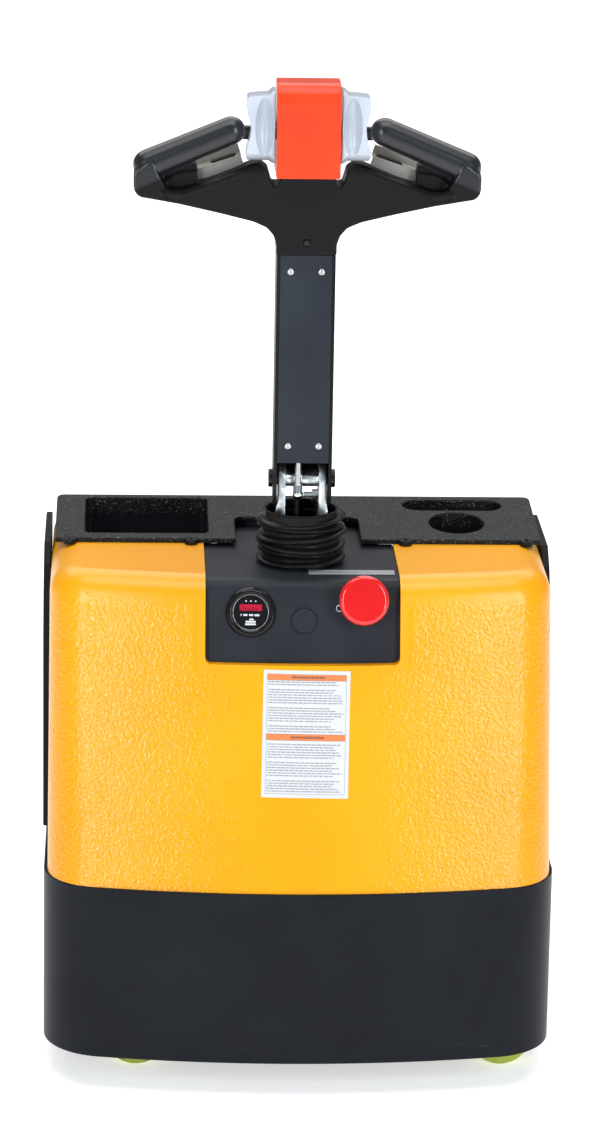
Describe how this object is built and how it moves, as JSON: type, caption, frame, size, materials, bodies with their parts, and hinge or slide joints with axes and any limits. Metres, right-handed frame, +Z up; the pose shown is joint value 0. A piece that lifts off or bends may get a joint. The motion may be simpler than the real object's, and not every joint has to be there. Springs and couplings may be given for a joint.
{
  "type": "electric pallet truck",
  "caption": "Walk-behind powered pallet truck: tilting tiller with looped head, moulded front cover, storage tray, bumper skirt and two low forks that lift.",
  "frame": {"origin": "on the floor, under the middle of the whole truck", "axes": "+X to the right seen from the operator, +Y towards the fork tips, +Z up"},
  "size_m": [0.628, 1.6299, 1.207],
  "materials": {
    "charcoal_paint": "semi-matt charcoal powder coat",
    "black_paint": "satin black powder coat",
    "fork_paint": "satin black paint, worn at the edges",
    "amber_cover": "pebbled amber moulding",
    "panel_plastic": "fine-grained dark grey",
    "gloss_black": "polished black",
    "dial_face": "dark dial under a lens",
    "satin_steel": "satin",
    "red_gloss": "glossy red",
    "red_satin": "satin orange-red",
    "label_white": "printed film",
    "grained_plastic": "coarse leather grain",
    "black_plastic": "moulded",
    "cast_grey": "grey cast",
    "zinc_plate": "bright zinc plate",
    "black_steel": "black oxide",
    "boot_rubber": "smooth moulded rubber",
    "cable_black": "cable jacket",
    "drive_rubber": "solid rubber",
    "battery_case": "moulded case",
    "alu_case": "finned",
    "chrome_rod": "hard chrome",
    "caster_pu": "yellow-green polyurethane",
    "blue_black_plate": "blue-black satin",
    "head_plastic": "fine-grained black",
    "grip_rubber": "smooth soft grip",
    "warm_grey": "satin warm grey",
    "white_plastic": "cool white"
  },
  "bodies": {
    "chassis": {"bumper_skirt": "charcoal_paint", "drive_deck": "black_paint", "side_plates": "black_paint", "rear_bulkhead": "black_paint", "front_cover": "amber_cover", "control_panel": "panel_plastic", "gauge_bezel": "gloss_black", "gauge_dial": "dial_face", "blank_plug": "panel_plastic", "stop_base": "satin_steel", "labels": "label_white", "storage_tray": "grained_plastic", "tray_clips": "black_plastic", "slewing_ring_outer": "satin_steel", "batteries": "battery_case", "oil_tank": "cast_grey", "pump_motor": "black_paint", "motor_controller": "alu_case", "horn": "black_paint", "lift_barrel": "black_paint"},
    "steering": {"slewing_ring_inner": "satin_steel", "gearbox_housing": "cast_grey", "drive_motor": "black_paint", "motor_brake": "cast_grey", "steering_bracket": "black_paint", "tiller_clevis": "zinc_plate", "pivot_bolts": "black_steel", "ball_stud": "zinc_plate", "steering_boot": "boot_rubber", "column_cable": "cable_black"},
    "drive_wheel": {"drive_tyre": "drive_rubber", "drive_hub": "cast_grey"},
    "tiller": {"tiller_arm": "black_paint", "arm_cover": "blue_black_plate", "arm_screws": "satin_steel", "tiller_head": "head_plastic", "hand_grips": "grip_rubber", "button_plates": "warm_grey", "arm_cable": "cable_black"},
    "gas_cylinder_body": {"gas_cylinder": "black_paint"},
    "gas_rod_body": {"gas_rod": "chrome_rod"},
    "throttle": {"throttle_shaft": "satin_steel", "throttle_paddles": "white_plastic"},
    "reversing": {"reversing_button": "red_satin"},
    "lift_switch": {"lift_lower_switch": "black_plastic"},
    "horn_push": {"horn_button": "black_plastic"},
    "emergency_stop": {"stop_button": "red_gloss"},
    "carriage": {"fork_carriage": "fork_paint", "lift_ram": "chrome_rod", "forks": "fork_paint"},
    "rocker": {"lift_rocker": "black_paint"},
    "rods": {"push_rods": "zinc_plate"},
    "brackets": {"roller_brackets": "fork_paint", "roller_axles": "satin_steel"},
    "roller_left": {"load_roller_left": "caster_pu"},
    "roller_right": {"load_roller_right": "caster_pu"},
    "caster_left": {"caster_fork_left": "zinc_plate"},
    "caster_right": {"caster_fork_right": "zinc_plate"},
    "caster_roll_left": {"caster_wheel_left": "caster_pu"},
    "caster_roll_right": {"caster_wheel_right": "caster_pu"}
  },
  "joints": [
    {"name": "steer", "type": "hinge", "parent": "chassis", "child": "steering", "pos_m": [0, -0.607, 0.3], "axis": [0, 0, 1], "range_deg": [-90, 90]},
    {"name": "drive_spin", "type": "hinge", "parent": "steering", "child": "drive_wheel", "pos_m": [0, -0.607, 0.105], "axis": [1, 0, 0], "continuous": true},
    {"name": "tiller_tilt", "type": "hinge", "parent": "steering", "child": "tiller", "pos_m": [0, -0.607, 0.72], "axis": [1, 0, 0], "range_deg": [0, 75], "stiffness_Nm_per_rad": 22, "springref_deg": -20.05},
    {"name": "gas_spring_swing", "type": "hinge", "parent": "tiller", "child": "gas_cylinder_body", "pos_m": [-0.005, -0.607, 0.92], "axis": [1, 0, 0], "range_deg": [-1.92, 0.3]},
    {"name": "gas_spring_stroke", "type": "slide", "parent": "gas_cylinder_body", "child": "gas_rod_body", "axis": [0, 0.0762, 0.9971], "range_m": [0, 0.0277]},
    {"name": "throttle_turn", "type": "hinge", "parent": "tiller", "child": "throttle", "pos_m": [0, -0.615, 1.155], "axis": [1, 0, 0], "range_deg": [-25, 25], "stiffness_Nm_per_rad": 0.6},
    {"name": "reversing_press", "type": "slide", "parent": "tiller", "child": "reversing", "axis": [0, 0, -1], "range_m": [0, 0.008], "stiffness_N_per_m": 900, "springref_m": -0.008},
    {"name": "lift_switch_rock", "type": "hinge", "parent": "tiller", "child": "lift_switch", "pos_m": [-0.09768, -0.5875, 1.10291], "axis": [0, 1, 0], "range_deg": [-6, 6], "stiffness_Nm_per_rad": 0.3},
    {"name": "horn_press", "type": "slide", "parent": "tiller", "child": "horn_push", "axis": [-0.3206, 0, -0.9472], "range_m": [0, 0.003], "stiffness_N_per_m": 400, "springref_m": -0.002},
    {"name": "stop_press", "type": "slide", "parent": "chassis", "child": "emergency_stop", "axis": [-0.0537, 0.9617, -0.2687], "range_m": [0, 0.006]},
    {"name": "lift", "type": "slide", "parent": "chassis", "child": "carriage", "axis": [0, 0, 1], "range_m": [0, 0.115]},
    {"name": "rocker_turn", "type": "hinge", "parent": "carriage", "child": "rocker", "pos_m": [0, -0.37, 0.092], "axis": [1, 0, 0], "range_deg": [-0.1, 46.16]},
    {"name": "push_rod_travel", "type": "slide", "parent": "carriage", "child": "rods", "axis": [0, 1, 0], "range_m": [-0.0001, 0.01894]},
    {"name": "bracket_turn", "type": "hinge", "parent": "carriage", "child": "brackets", "pos_m": [0, 0.50037, 0.048], "axis": [1, 0, 0], "range_deg": [-46.16, 0.1]},
    {"name": "load_roller_spin_left", "type": "hinge", "parent": "brackets", "child": "roller_left", "pos_m": [-0.19, 0.665, 0.037], "axis": [1, 0, 0], "continuous": true},
    {"name": "load_roller_spin_right", "type": "hinge", "parent": "brackets", "child": "roller_right", "pos_m": [0.19, 0.665, 0.037], "axis": [1, 0, 0], "continuous": true},
    {"name": "caster_swivel_left", "type": "hinge", "parent": "chassis", "child": "caster_left", "pos_m": [-0.225, -0.7, 0.104], "axis": [0, 0, 1], "continuous": true},
    {"name": "caster_spin_left", "type": "hinge", "parent": "caster_left", "child": "caster_roll_left", "pos_m": [-0.197, -0.7, 0.0375], "axis": [0, 1, 0], "continuous": true},
    {"name": "caster_swivel_right", "type": "hinge", "parent": "chassis", "child": "caster_right", "pos_m": [0.225, -0.7, 0.104], "axis": [0, 0, 1], "continuous": true},
    {"name": "caster_spin_right", "type": "hinge", "parent": "caster_right", "child": "caster_roll_right", "pos_m": [0.253, -0.7, 0.0375], "axis": [0, 1, 0], "continuous": true}
  ],
  "couplings": [
    {"joint": "gas_spring_swing", "follows": "tiller_tilt", "ratio": -0.021533},
    {"joint": "gas_spring_stroke", "follows": "tiller_tilt", "m_per_rad": 0.020928},
    {"joint": "rocker_turn", "follows": "lift", "rad_per_m": 6.9757},
    {"joint": "push_rod_travel", "follows": "lift", "ratio": 0.16296},
    {"joint": "bracket_turn", "follows": "lift", "rad_per_m": -6.9757}
  ]
}
